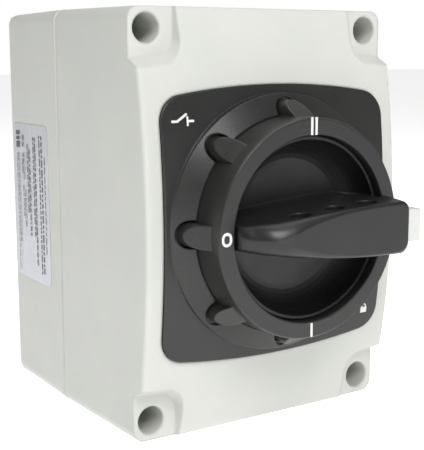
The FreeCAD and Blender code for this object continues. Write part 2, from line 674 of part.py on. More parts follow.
def legend_prisms(sink):
    near = RING_FRONT_DEPTH - sink
    far = RING_FRONT_DEPTH
    middle = -LEGEND_RADIUS
    bend = NOUGHT_W / 2 - 0.05
    outer = rounded_block(NOUGHT_W / 2, NOUGHT_H / 2, bend, near, far)
    inner = rounded_block(NOUGHT_W / 2 - LEGEND_STROKE, NOUGHT_H / 2 - LEGEND_STROKE,
                          bend - LEGEND_STROKE, near - 1.0, far + 1.0)
    nought = outer.cut(inner)
    nought.translate(FreeCAD.Vector(middle, 0, 0))
    shapes = [nought]
    half = LEGEND_STROKE / 2
    bars = [(0.0, -LEGEND_RADIUS, ONE_H), (-BAR_SPREAD, LEGEND_RADIUS, TWO_H),
            (BAR_SPREAD, LEGEND_RADIUS, TWO_H)]
    for x, z, height in bars:
        shapes.append(block(x - half, x + half, near, far, z - height / 2, z + height / 2))
    return shapes


def symbol_prisms(near, far):
    """Switch symbol: a stub with a slanting blade, and a stub that ends in a short bar."""
    x = SYMBOL_X
    z = SYMBOL_Z
    half = MARK_STROKE / 2
    blade = turned(block(0.0, SYMBOL_BLADE_LENGTH, near, far, -half, half), SYMBOL_BLADE_DEG)
    blade.translate(FreeCAD.Vector(x - 2.2, 0, z))
    left = block(x - 4.4, x - 1.8, near, far, z - half, z + half)
    right = block(x + 2.2, x + 4.4, near, far, z - half, z + half)
    stop = block(x + 1.5, x + 2.2, near, far, z - 1.6, z + 1.6)
    return [left.fuse(blade), right.fuse(stop)]


def padlock_prism(near, far):
    """Padlock pictogram: a block with a bow over it."""
    x = PADLOCK_X
    z = PADLOCK_Z
    body = block(x - 1.5, x + 1.5, near, far, z - 1.4, z + 0.8)
    bow = bar(PADLOCK_BOW_R, near, far, x, z + 1.1).cut(bar(PADLOCK_BOW_R - 0.5, near, far, x, z + 1.1))
    return body.fuse(bow.cut(block(x - 2.0, x + 2.0, near, far, z - 1.0, z + 0.8)))


def mark_prisms(sink):
    near = FACE_DEPTH - 6.0
    far = FACE_DEPTH + 6.0
    skin = face_bend(PLATE_PROUD).cut(face_bend(PLATE_PROUD - sink))
    return [shape.common(skin) for shape in symbol_prisms(near, far) + [padlock_prism(near, far)]]


# ---------------------------------------------------------------- handle
def grip_sizes(x):
    """Sizes of the cross-section at x, on a smooth curve through the given stations."""
    last = len(GRIP_STATIONS) - 1
    index = max(i for i in range(last) if GRIP_STATIONS[i][0] <= x)
    before = GRIP_STATIONS[max(index - 1, 0)]
    start = GRIP_STATIONS[index]
    end = GRIP_STATIONS[index + 1]
    after = GRIP_STATIONS[min(index + 2, last)]
    span = end[0] - start[0]
    t = (x - start[0]) / span
    rise = 3 * t ** 2 - 2 * t ** 3
    sizes = []
    for k in range(1, len(start)):
        slope_start = (end[k] - before[k]) / (end[0] - before[0])
        slope_end = (after[k] - start[k]) / (after[0] - start[0])
        swing = slope_start * (t ** 3 - 2 * t ** 2 + t) + slope_end * (t ** 3 - t ** 2)
        sizes.append(start[k] + rise * (end[k] - start[k]) + span * swing)
    return sizes


def grip_section(x, half_w, drop, roll_w, roll_h):
    """Outline across the grip: flared foot, straight sides, rolled edges and a flat front."""
    base = BOWL_FLOOR_DEPTH - BOWL_FLOOR_T / 2
    front = GRIP_FRONT_DEPTH - drop
    flat = half_w - roll_w
    knee = base + GRIP_FOOT_H
    foot = half_w + GRIP_FOOT_W
    mid_roll = (half_w - roll_w / 2 + GRIP_BULGE * roll_h, front - roll_h / 2 + GRIP_BULGE * roll_w)
    mid_foot = (half_w + GRIP_FOOT_W * FOOT_SAG, base + GRIP_FOOT_H * FOOT_SAG)
    half = [(foot, base), mid_foot, (half_w, knee), (half_w, front - roll_h), mid_roll, (flat, front)]
    right = [point(x, depth, z) for z, depth in half]
    left = [point(x, depth, -z) for z, depth in half]
    return Part.Wire([
        Part.Arc(*right[0:3]).toShape(), Part.makeLine(right[2], right[3]),
        Part.Arc(*right[3:6]).toShape(), Part.makeLine(right[5], left[5]),
        Part.Arc(left[5], left[4], left[3]).toShape(), Part.makeLine(left[3], left[2]),
        Part.Arc(left[2], left[1], left[0]).toShape(), Part.makeLine(left[0], right[0])])


def grip_end_outline(end, half_w, depth):
    """Front view of the grip's square end: a long rectangle with its two end corners rounded."""
    turn = GRIP_CORNER_R * (1 - math.sqrt(0.5))
    start = point(-BIG, depth, half_w)
    corner = [point(end - GRIP_CORNER_R, depth, half_w), point(end - turn, depth, half_w - turn),
              point(end, depth, half_w - GRIP_CORNER_R)]
    low = [point(end, depth, GRIP_CORNER_R - half_w), point(end - turn, depth, turn - half_w),
           point(end - GRIP_CORNER_R, depth, -half_w)]
    last = point(-BIG, depth, -half_w)
    return Part.Wire([Part.makeLine(start, corner[0]), Part.Arc(*corner).toShape(),
                      Part.makeLine(corner[2], low[0]), Part.Arc(*low).toShape(),
                      Part.makeLine(low[2], last), Part.makeLine(last, start)])


def grip_body():
    """Bar across the bowl, pointed at the pointer end and square at the slide end."""
    first = GRIP_STATIONS[0][0]
    step = (GRIP_STATIONS[-1][0] - first) / GRIP_SECTIONS
    places = [first + i * step for i in range(GRIP_SECTIONS)] + [GRIP_STATIONS[-1][0]]
    core = Part.makeLoft([grip_section(x, *grip_sizes(x)) for x in places], True, False)
    under = GRIP_UNDER_DEPTH
    edge_depth = GRIP_FRONT_DEPTH - GRIP_EDGE
    wide = GRIP_HALF_W + GRIP_FOOT_W
    lean_end = GRIP_END_X - GRIP_END_LEAN
    stages = [(GRIP_END_X, GRIP_HALF_W + GRIP_EDGE, under), (lean_end, GRIP_HALF_W, edge_depth),
              (lean_end - GRIP_EDGE, GRIP_HALF_W - GRIP_EDGE, GRIP_FRONT_DEPTH)]
    trim = Part.makeLoft([grip_end_outline(*stage) for stage in stages], True, True)
    inside = bar(BOWL_R - BOWL_LIP_W / 2, BOWL_FLOOR_DEPTH - BOWL_FLOOR_T, under)
    foot = block(-BIG, GRIP_END_X, BOWL_FLOOR_DEPTH - BOWL_FLOOR_T, under, -wide, wide)
    return core.common(trim).fuse(core.common(foot.common(inside)))


def bowl():
    """Dished handle body that turns inside the legend ring."""
    inner = BOWL_R - BOWL_LIP_W
    back = BOWL_FLOOR_DEPTH - BOWL_FLOOR_T
    steps = 8
    bend_r = inner - BOWL_BEND_R
    bend_d = BOWL_FLOOR_DEPTH + BOWL_BEND_R
    arc = []
    for i in range(steps + 1):
        a = math.radians(90.0 * i / steps)
        arc.append((bend_r + BOWL_BEND_R * math.cos(a), bend_d - BOWL_BEND_R * math.sin(a)))
    profile = [(0.0, back), (BOWL_R, back), (BOWL_R, BOWL_LIP_DEPTH), (inner, BOWL_LIP_DEPTH)]
    profile += arc + [(0.0, BOWL_FLOOR_DEPTH)]
    return revolve(profile)


def lock_holes(radius):
    holes = []
    for x in LOCK_HOLE_X:
        start = point(x, LOCK_HOLE_DEPTH, -BIG / 8)
        holes.append(Part.makeCylinder(radius, BIG / 4, start, FreeCAD.Vector(0, 0, 1)))
    return holes


def handle():
    hub = bar(HUB_R, HUB_END_DEPTH, BOWL_FLOOR_DEPTH - BOWL_FLOOR_T / 2)
    body = fuse([bowl(), grip_body(), hub])
    gap = SLIDE_GAP
    bar_near = SLIDE_NEAR - gap
    bar_far = SLIDE_FAR + gap
    half = SLIDE_BAR_HALF_W + gap
    cuts = [block(SLIDE_TAIL_ROUND_X - SLIDE_TRAVEL, GRIP_END_X + 5.0, bar_near, bar_far, -half, half)]
    cuts.append(bar(half, bar_near, bar_far, SLIDE_TAIL_ROUND_X - SLIDE_TRAVEL, 0.0))
    cuts.append(block(SLIDE_HEAD_X - SLIDE_TRAVEL - gap, GRIP_END_X + 5.0, bar_near, bar_far,
                      -SLIDE_HEAD_HALF_W - gap, SLIDE_HEAD_HALF_W + gap))
    cuts += lock_holes(LOCK_HOLE_R)
    cuts.append(bar(STOP_PIN_R, GRIP_UNDER_DEPTH - 2.0, SLIDE_NEAR + 1.0, STOP_PIN_X, 0.0))
    socket = SHAFT_SIDE / 2 + SHAFT_FIT
    cuts.append(block(-socket, socket, HUB_END_DEPTH - 1.0, SHAFT_FRONT_DEPTH + 0.5, -socket, socket))
    clip = bar(HUB_R + 1.0, CLIP_NEAR, CLIP_FAR).cut(bar(CLIP_GROOVE_R, CLIP_NEAR, CLIP_FAR))
    cuts.append(clip)
    return body.cut(cuts)


def lock_slide():
    """Sliding locking bar: pulled out, its holes line up with the padlock holes of the grip."""
    half = SLIDE_BAR_HALF_W
    tail = block(SLIDE_TAIL_ROUND_X, SLIDE_HEAD_X + SLIDE_TIP_R, SLIDE_NEAR, SLIDE_FAR, -half, half)
    tail = tail.fuse(bar(half, SLIDE_NEAR, SLIDE_FAR, SLIDE_TAIL_ROUND_X, 0.0))
    head = block(SLIDE_HEAD_X, SLIDE_END_X, SLIDE_NEAR, SLIDE_FAR, -SLIDE_HEAD_HALF_W, SLIDE_HEAD_HALF_W)
    tips = [e for e in head.Edges if e.BoundBox.XMin > SLIDE_END_X - 0.01]
    head = head.makeFillet(SLIDE_TIP_R, tips)
    body = tail.fuse(head).removeSplitter()
    slot_start = STOP_PIN_X - STOP_PIN_R - SLIDE_GAP
    slot_end = STOP_PIN_X + STOP_PIN_R + SLIDE_GAP + SLIDE_TRAVEL
    slot_half = STOP_PIN_R + SLIDE_GAP
    slot = block(slot_start, slot_end, SLIDE_NEAR - 1.0, SLIDE_NEAR + STOP_SLOT_DEEP, -slot_half, slot_half)
    return body.cut(lock_holes(LOCK_HOLE_R + LOCK_HOLE_ROOM) + [slot])


def slide_stop_pin():
    return bar(STOP_PIN_R, GRIP_UNDER_DEPTH, SLIDE_NEAR + STOP_PIN_REACH, STOP_PIN_X, 0.0)


def coil_spring(radius, wire_r, length, turns):
    """Round-wire compression spring along +Z from the origin."""
    lead = length - 2 * wire_r
    helix = Part.makeHelix(lead / turns, lead, radius)
    ring = Part.Wire(Part.makeCircle(wire_r, FreeCAD.Vector(radius, 0, 0), FreeCAD.Vector(0, 1, 0)))
    coil = Part.Wire(helix).makePipeShell([ring], True, True)
    coil.translate(FreeCAD.Vector(0, 0, wire_r))
    return coil


def shaft_seal():
    """Square-section sealing ring in the neck, round the handle hub."""
    ring = bar(SEAL_R_OUT, SEAL_NEAR, SEAL_FAR)
    return ring.cut(bar(NECK_BORE_R, SEAL_NEAR - 1.0, SEAL_FAR + 1.0))


def retaining_washer():
    ring = bar(WASHER_R_OUT, CLIP_FAR, CLIP_FAR + WASHER_T)
    return ring.cut(bar(HUB_R, CLIP_FAR - 1.0, CLIP_FAR + 3.0))


def circlip():
    near = CLIP_NEAR - 1.0
    far = CLIP_FAR + 1.0
    ring = bar(CLIP_R_OUT, CLIP_NEAR, CLIP_FAR).cut(bar(CLIP_GROOVE_R, near, far))
    return ring.cut(block(-CLIP_OPEN_HALF_W, CLIP_OPEN_HALF_W, near, far, 0.0, CLIP_R_OUT + 1.0))


# ---------------------------------------------------------------- switch body
def drive_shaft():
    half = SHAFT_SIDE / 2
    body = block(-half, half, SHAFT_BACK_DEPTH, SHAFT_FRONT_DEPTH, -half, half)
    journal = bar(JOURNAL_R, DETENT_BACK_DEPTH + JOURNAL_WALL + 0.4, SHAFT_BACK_DEPTH)
    return body.fuse(journal)


def sector(radius, half_angle, near, far):
    """Wedge of a disc centred on the +X direction."""
    wedge = Part.makeCylinder(radius, far - near, point(0, near, 0), FreeCAD.Vector(0, -1, 0), 2 * half_angle)
    return turned(wedge, -half_angle)


def stack_block(near, far):
    return rounded_block(STACK_W / 2, STACK_H / 2, STACK_CORNER_R, near, far)


def tie_holes(near, far):
    return [bar(M4_R + CLEAR_HOLE, near, far, x, z) for x, z in four(TIE_X, TIE_Z)]


def mounting_foot():
    """Foot that hooks over both flanges of the rail."""
    back = RAIL_BACK_DEPTH + RAIL_H
    body = stack_block(back, FOOT_FRONT_DEPTH)
    half = RAIL_W / 2
    hooks = []
    for up in (1, -1):
        leg = sorted((up * (half + 0.2), up * (half + 0.2 + HOOK_T)))
        lip = sorted((up * (half - 2.6), up * (half + 0.2 + HOOK_T)))
        hooks.append(block(-STACK_W / 4, STACK_W / 4, back - HOOK_T, back, leg[0], leg[1]))
        hooks.append(block(-STACK_W / 4, STACK_W / 4, back - HOOK_T, back - RAIL_T - 0.1, lip[0], lip[1]))
    return fuse([body] + hooks).cut(tie_holes(back + 2.0, FOOT_FRONT_DEPTH + 1.0))


def detent_housing():
    body = stack_block(DETENT_BACK_DEPTH, DETENT_FRONT_DEPTH)
    cuts = [bar(DISC_R + 0.5, DETENT_FLOOR_DEPTH, DETENT_FRONT_DEPTH + 1.0)]
    stop = STOP_LUG_DEG + STOP_TRAVEL_DEG
    cuts.append(sector(STOP_LUG_R + 0.5, stop, DETENT_FLOOR_DEPTH, DETENT_FRONT_DEPTH + 1.0))
    cuts.append(bar(JOURNAL_R + JOURNAL_RUN_FIT, DETENT_BACK_DEPTH + JOURNAL_WALL, DETENT_FLOOR_DEPTH + 1.0))
    for x, z in ball_places():
        cuts.append(bar(BALL_R + 0.15, DETENT_SPRING_BACK, DETENT_FLOOR_DEPTH + 1.0, x, z))
    return body.cut(cuts + tie_holes(DETENT_BACK_DEPTH - 1.0, DETENT_FRONT_DEPTH + 1.0))


def ball_places(angles=BALL_ANGLES):
    spots = []
    for angle in angles:
        a = math.radians(angle)
        spots.append((BALL_RING_R * math.cos(a), BALL_RING_R * math.sin(a)))
    return spots


def detent_disc():
    """Disc that turns with the shaft, dimpled every quarter turn, with a stop lug."""
    body = bar(DISC_R, SHAFT_BACK_DEPTH, DISC_FRONT_DEPTH)
    lug = sector(STOP_LUG_R, STOP_LUG_DEG, SHAFT_BACK_DEPTH, DISC_FRONT_DEPTH)
    body = body.fuse(lug)
    half = SHAFT_SIDE / 2
    cuts = [block(-half, half, SHAFT_BACK_DEPTH - 1.0, DISC_FRONT_DEPTH + 1.0, -half, half)]
    for x, z in ball_places(DIMPLE_ANGLES):
        cuts.append(Part.makeSphere(BALL_R + 0.2, point(x, SHAFT_BACK_DEPTH - 1.0, z)))
    return body.cut(cuts)


def detent_balls():
    return [Part.makeSphere(BALL_R, point(x, BALL_DEPTH, z)) for x, z in ball_places()]


def detent_springs():
    springs = []
    length = BALL_DEPTH - BALL_R - DETENT_SPRING_BACK
    for x, z in ball_places():
        spring = coil_spring(BALL_R - 2 * DETENT_SPRING_WIRE_R, DETENT_SPRING_WIRE_R, length,
                             DETENT_SPRING_TURNS)
        spring.rotate(FreeCAD.Vector(0, 0, 0), FreeCAD.Vector(1, 0, 0), 90.0)
        spring.translate(point(x, DETENT_SPRING_BACK, z))
        springs.append(spring)
    return springs


def deck_depth(index):
    return DECK_START + index * DECK_PITCH


def blade_depths(index):
    near = deck_depth(index) + 5.4
    return near, near + BLADE_T


def channel(turn, near, far, half_w, start, end):
    """Straight box that runs out from the axis in the direction turn (degrees)."""
    return turned(block(start, end, near, far, -half_w, half_w), turn)


def side_reach(turn):
    return STACK_W / 2 if turn == CONTACTS["common"] else STACK_H / 2


def contact_deck(index):
    near = deck_depth(index)
    far = near + DECK_PITCH
    cuts = [bar(DECK_CAVITY_R, near + DECK_FLOOR, far + 1.0)]
    cuts.append(bar(ROTOR_HUB_R + ROTOR_GAP, near - 1.0, far + 1.0))
    for turn in CONTACTS.values():
        cuts.append(channel(turn, near + DECK_FLOOR + 0.6, far + 1.0, CHANNEL_HALF_W,
                            DECK_CAVITY_R - 2.0, side_reach(turn) + 1.0))
    return stack_block(near, far).cut(cuts + tie_holes(near - 1.0, far + 1.0))


def rotor(index):
    """Insulating rotor on the square shaft."""
    near = deck_depth(index)
    blade_near, blade_far = blade_depths(index)
    hub = bar(ROTOR_HUB_R, near + 0.1, near + DECK_PITCH - 0.1)
    collar = bar(JAW_R - 0.7, near + DECK_FLOOR + 0.4, blade_near - 1.2)
    arm = channel(180.0, blade_near - 1.6, blade_near, BLADE_HALF_W + 0.8, 0.0, JAW_R - 0.7)
    half = SHAFT_SIDE / 2
    hole = block(-half, half, near - 1.0, near + DECK_PITCH + 1.0, -half, half)
    return fuse([hub, collar, arm]).cut(hole)


def moving_contact(index):
    """Copper blade on the rotor: a collector ring and one arm that points like the grip."""
    near, far = blade_depths(index)
    ring = bar(ROTOR_HUB_R + 2.6, near, far)
    arm = channel(180.0, near, far, BLADE_HALF_W, 0.0, BLADE_R)
    return ring.fuse(arm).cut(bar(ROTOR_HUB_R, near - 1.0, far + 1.0))


def fixed_contacts(index):
    """Jaws for positions one and two, and the common wiper over the collector ring."""
    near, far = blade_depths(index)
    lead_near = (near + far - LEAD_T) / 2
    shapes = []
    for name, turn in CONTACTS.items():
        reach = side_reach(turn) + LEAD_REACH
        inner = ROTOR_HUB_R + 0.8 if name == "common" else JAW_R
        half_w = BLADE_HALF_W
        back = channel(turn, near - JAW_GAP - JAW_T, near - JAW_GAP, half_w, JAW_R, DECK_CAVITY_R + 3.5)
        front = channel(turn, far + JAW_GAP, far + JAW_GAP + JAW_T, half_w, inner, DECK_CAVITY_R + 3.5)
        web = channel(turn, near - JAW_GAP - JAW_T, far + JAW_GAP + JAW_T, half_w,
                      DECK_CAVITY_R + 0.8, DECK_CAVITY_R + 3.5)
        lead = channel(turn, lead_near, lead_near + LEAD_T, LEAD_HALF_W, DECK_CAVITY_R + 1.0, reach)
        shapes.append(fuse([back, front, web, lead]))
    return shapes


def outward_bar(turn, radius, depth, start, end):
    """Round bar pointing out from the axis."""
    rod = Part.makeCylinder(radius, end - start, point(start, depth, 0), FreeCAD.Vector(1, 0, 0))
    return turned(rod, turn)


def terminal_clamps():
    """Brass clamps outside the decks, one on each lead."""
    clamps = []
    for index in range(DECKS):
        near, far = blade_depths(index)
        middle = (near + far) / 2
        for turn in CONTACTS.values():
            reach = side_reach(turn)
            body = channel(turn, middle - CLAMP_HALF_D, middle + CLAMP_HALF_D, CLAMP_HALF_W,
                           reach, reach + CLAMP_LENGTH)
            lead = channel(turn, middle - LEAD_T / 2, middle + LEAD_T / 2, LEAD_HALF_W,
                           reach - 1.0, reach + LEAD_REACH)
            screw = outward_bar(turn, TERMINAL_SCREW_R, middle, reach, reach + CLAMP_LENGTH + 1.0)
            start = point(reach + WIRE_ENTRY_REACH, middle, -CLAMP_HALF_W - 1.0)
            entry = Part.makeCylinder(WIRE_ENTRY_R, 2 * CLAMP_HALF_W + 2.0, start, FreeCAD.Vector(0, 0, 1))
            clamps.append(body.cut([lead, screw, turned(entry, turn)]))
    return clamps


def terminal_screws():
    screws = []
    for index in range(DECKS):
        near, far = blade_depths(index)
        middle = (near + far) / 2
        for turn in CONTACTS.values():
            out = side_reach(turn) + CLAMP_LENGTH
            shank = outward_bar(turn, TERMINAL_SCREW_R, middle, out - 1.5, out)
            head = outward_bar(turn, TERMINAL_HEAD_R, middle, out, out + TERMINAL_HEAD_H)
            slot = channel(turn, middle - SLOT_W / 2, middle + SLOT_W / 2, TERMINAL_HEAD_R + 1.0,
                           out + TERMINAL_HEAD_H - 0.9, out + TERMINAL_HEAD_H + 1.0)
            screws.append(shank.fuse(head).cut(slot))
    return screws


def end_plate():
    body = stack_block(STACK_END, STACK_END + END_PLATE_T)
    near = STACK_END - 1.0
    far = STACK_END + END_PLATE_T + 1.0
    hole = bar(SHAFT_SIDE / 2 * math.sqrt(2) + ROTOR_GAP + 0.1, near, far)
    return body.cut([hole] + tie_holes(near, far))


def tie_bolts():
    under = STACK_END + END_PLATE_T
    start = RAIL_BACK_DEPTH + RAIL_H + 2.5
    bolts = []
    for x, z in four(TIE_X, TIE_Z):
        head = bar(M4_HEAD_R, under, under + TIE_HEAD_H, x, z)
        slot = cross_slot(x, z, under + TIE_HEAD_H, 1.4)
        bolts.append(bar(M4_R, start, under, x, z).fuse(head).cut(slot))
    return bolts


# ---------------------------------------------------------------- rail and earth terminal
def din_rail():
    half_l = RAIL_LENGTH / 2
    front = RAIL_BACK_DEPTH + RAIL_H
    crown = RAIL_CROWN_W / 2
    web = block(-half_l, half_l, RAIL_BACK_DEPTH, RAIL_BACK_DEPTH + RAIL_T, -crown, crown)
    pieces = [web]
    for up in (1, -1):
        wall = sorted((up * (crown - RAIL_T), up * crown))
        flange = sorted((up * (crown - RAIL_T), up * RAIL_W / 2))
        pieces.append(block(-half_l, half_l, RAIL_BACK_DEPTH, front, wall[0], wall[1]))
        pieces.append(block(-half_l, half_l, front - RAIL_T, front, flange[0], flange[1]))
    holes = [bar(RAIL_SCREW_R + CLEAR_HOLE, 0.0, front, side * RAIL_SCREW_X, 0.0) for side in (-1, 1)]
    return fuse(pieces).cut(holes)


def rail_screws():
    under = RAIL_BACK_DEPTH + RAIL_T
    screws = []
    for side in (-1, 1):
        x = side * RAIL_SCREW_X
        head = bar(M4_HEAD_R, under, under + RAIL_HEAD_H, x, 0.0)
        slot = cross_slot(x, 0.0, under + RAIL_HEAD_H, 1.3)
        screws.append(bar(RAIL_SCREW_R, RAIL_SCREW_TIP, under, x, 0.0).fuse(head).cut(slot))
    return screws


def earth_z(index):
    """Places of the two fixing screws and the two wire screws along the earth bar."""
    span = EARTH_POST_Z[1] - EARTH_POST_Z[0]
    return EARTH_POST_Z[0] + index * span / 3


def earth_bar():
    half = EARTH_SIDE / 2
    front = EARTH_BACK_DEPTH + EARTH_SIDE
    body = block(EARTH_X - half, EARTH_X + half, EARTH_BACK_DEPTH, front,
                 EARTH_POST_Z[0] - EARTH_BAR_END, EARTH_POST_Z[1] + EARTH_BAR_END)
    cuts = [bar(EARTH_SCREW_R, EARTH_BACK_DEPTH - 1.0, front + 1.0, EARTH_X, z) for z in EARTH_POST_Z]
    for index in (1, 2):
        z = earth_z(index)
        cuts.append(bar(EARTH_SCREW_R, EARTH_BACK_DEPTH + half, front + 1.0, EARTH_X, z))
        start = point(EARTH_X - EARTH_SIDE, EARTH_BACK_DEPTH + half, z)
        cuts.append(Part.makeCylinder(EARTH_WIRE_R, 2 * EARTH_SIDE, start, FreeCAD.Vector(1, 0, 0)))
    return body.cut(cuts)


def earth_screws():
    front = EARTH_BACK_DEPTH + EARTH_SIDE
    screws = []
    for index in range(4):
        z = earth_z(index)
        tip = BOX_WALL + 0.5 if index in (0, 3) else EARTH_BACK_DEPTH + EARTH_SIDE / 2 + 1.8
        head = bar(EARTH_SIDE / 2 - 1.0, front, front + 2.0, EARTH_X, z)
        slot = block(EARTH_X - EARTH_SIDE, EARTH_X + EARTH_SIDE, front + 1.1, front + 3.0,
                     z - SLOT_W / 2, z + SLOT_W / 2)
        screws.append(bar(EARTH_SCREW_R, tip, front, EARTH_X, z).fuse(head).cut(slot))
    return screws


# ---------------------------------------------------------------- label
def rating_label():
    """Thin foil on the left side of the base, following its lean."""
    half_d = (LABEL_FAR - LABEL_NEAR) / 2
    sheet = rounded_block(LABEL_HALF_H, half_d, LABEL_CORNER_R, 0.0, 10.0)
    sheet.rotate(FreeCAD.Vector(0, 0, 0), FreeCAD.Vector(0, 0, 1), -90.0)
    sheet.rotate(FreeCAD.Vector(0, 0, 0), FreeCAD.Vector(1, 0, 0), 90.0)
    sheet.translate(point(-HALF_W + 5.0, (LABEL_NEAR + LABEL_FAR) / 2, 0.0))
    foil = rounded_block(HALF_W - BOX_DRAFT + LABEL_T, HALF_H, BOX_CORNER_R, 0.0, SEAM_DEPTH, BOX_DRAFT)
    return sheet.common(foil).cut(base_shell())


# ---------------------------------------------------------------- write every piece
save("base_housing", base_housing())
save("cover_housing", cover_housing())
save("cover_gasket", cover_gasket())
save("cover_screws", cover_screws())
save("screw_seals", screw_seals())
save("screw_inserts", screw_inserts())
save("escutcheon", escutcheon())
save("escutcheon_screws", escutcheon_screws())
save("plate_marks", mark_prisms(PLATE_MARK_SINK))
save("legend_ring", legend_ring())
save("legend_marks", legend_prisms(LEGEND_SINK))
save("handle", handle())
save("lock_slide", lock_slide())
save("slide_stop_pin", slide_stop_pin())
save("shaft_seal", shaft_seal())
save("retaining_washer", retaining_washer())
save("circlip", circlip())
save("drive_shaft", drive_shaft())
save("din_rail", din_rail())
save("rail_screws", rail_screws())
save("mounting_foot", mounting_foot())
save("detent_housing", detent_housing())
save("detent_disc", detent_disc())
save("detent_balls", detent_balls())
save("detent_springs", detent_springs())
for deck in range(DECKS):
    label = str(deck + 1)
    save("contact_deck_" + label, contact_deck(deck))
    save("rotor_" + label, rotor(deck))
    save("moving_contact_" + label, moving_contact(deck))
    save("fixed_contacts_" + label, fixed_contacts(deck))
save("terminal_clamps", terminal_clamps())
save("terminal_screws", terminal_screws())
save("end_plate", end_plate())
save("tie_bolts", tie_bolts())
save("earth_bar", earth_bar())
save("earth_screws", earth_screws())
save("rating_label", rating_label())
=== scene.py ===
"""Looks of the enclosed rotary isolator: finishes, printed label, studio and camera."""

import json
import math
import random

import bmesh
import bpy
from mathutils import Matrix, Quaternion, Vector


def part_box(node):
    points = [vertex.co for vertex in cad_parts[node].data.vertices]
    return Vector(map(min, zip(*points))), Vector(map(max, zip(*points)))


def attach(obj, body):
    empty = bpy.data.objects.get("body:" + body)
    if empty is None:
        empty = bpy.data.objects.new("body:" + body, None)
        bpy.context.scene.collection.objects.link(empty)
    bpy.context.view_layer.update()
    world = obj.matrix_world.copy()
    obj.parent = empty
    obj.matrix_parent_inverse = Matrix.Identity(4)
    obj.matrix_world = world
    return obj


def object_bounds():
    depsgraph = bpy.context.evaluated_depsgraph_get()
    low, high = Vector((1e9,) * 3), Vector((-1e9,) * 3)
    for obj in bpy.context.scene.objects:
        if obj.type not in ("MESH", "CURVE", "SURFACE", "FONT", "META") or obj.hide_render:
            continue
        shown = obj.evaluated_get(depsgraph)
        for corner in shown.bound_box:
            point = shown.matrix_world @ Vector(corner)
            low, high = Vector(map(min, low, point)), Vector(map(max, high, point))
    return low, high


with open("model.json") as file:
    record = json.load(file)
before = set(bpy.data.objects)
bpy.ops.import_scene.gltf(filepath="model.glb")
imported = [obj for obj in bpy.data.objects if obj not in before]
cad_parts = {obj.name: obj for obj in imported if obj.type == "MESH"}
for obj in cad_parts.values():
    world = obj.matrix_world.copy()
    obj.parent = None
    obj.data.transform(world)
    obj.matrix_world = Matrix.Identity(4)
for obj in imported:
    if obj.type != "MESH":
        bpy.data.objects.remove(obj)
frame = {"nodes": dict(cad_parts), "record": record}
cad_low, cad_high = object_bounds()
nodes = frame["nodes"]

MM = 0.001
BEVEL_SAMPLES = 6
PLASTIC_IOR = 1.5
FOIL_METALLIC = 0.55

FLOOR_HALF = 6.0
FLOOR_GLOW = 0.62

# Background strengths: what the camera sees, what reflections see, and what lights the object
# from its left and from everywhere else.
SEEN_SKY = 1.0
MIRRORED_SKY = 0.26
LEFT_SKY = 0.12
OPEN_SKY = 0.40

PRINT_LIFT = 0.03 * MM
PRINT_SEED = 7
SHORTEST_BAR = 1.0
LONGEST_BAR = 3.4

CAMERA_AT = Vector((-214.77, -401.18, 59.53)) * MM
CAMERA_TOWARDS = Vector((0.53657, 0.82718, -0.16691))
CAMERA_ROLL = math.radians(-0.147)
CAMERA_LENS = 81.0


# ---------------------------------------------------------------- finishes

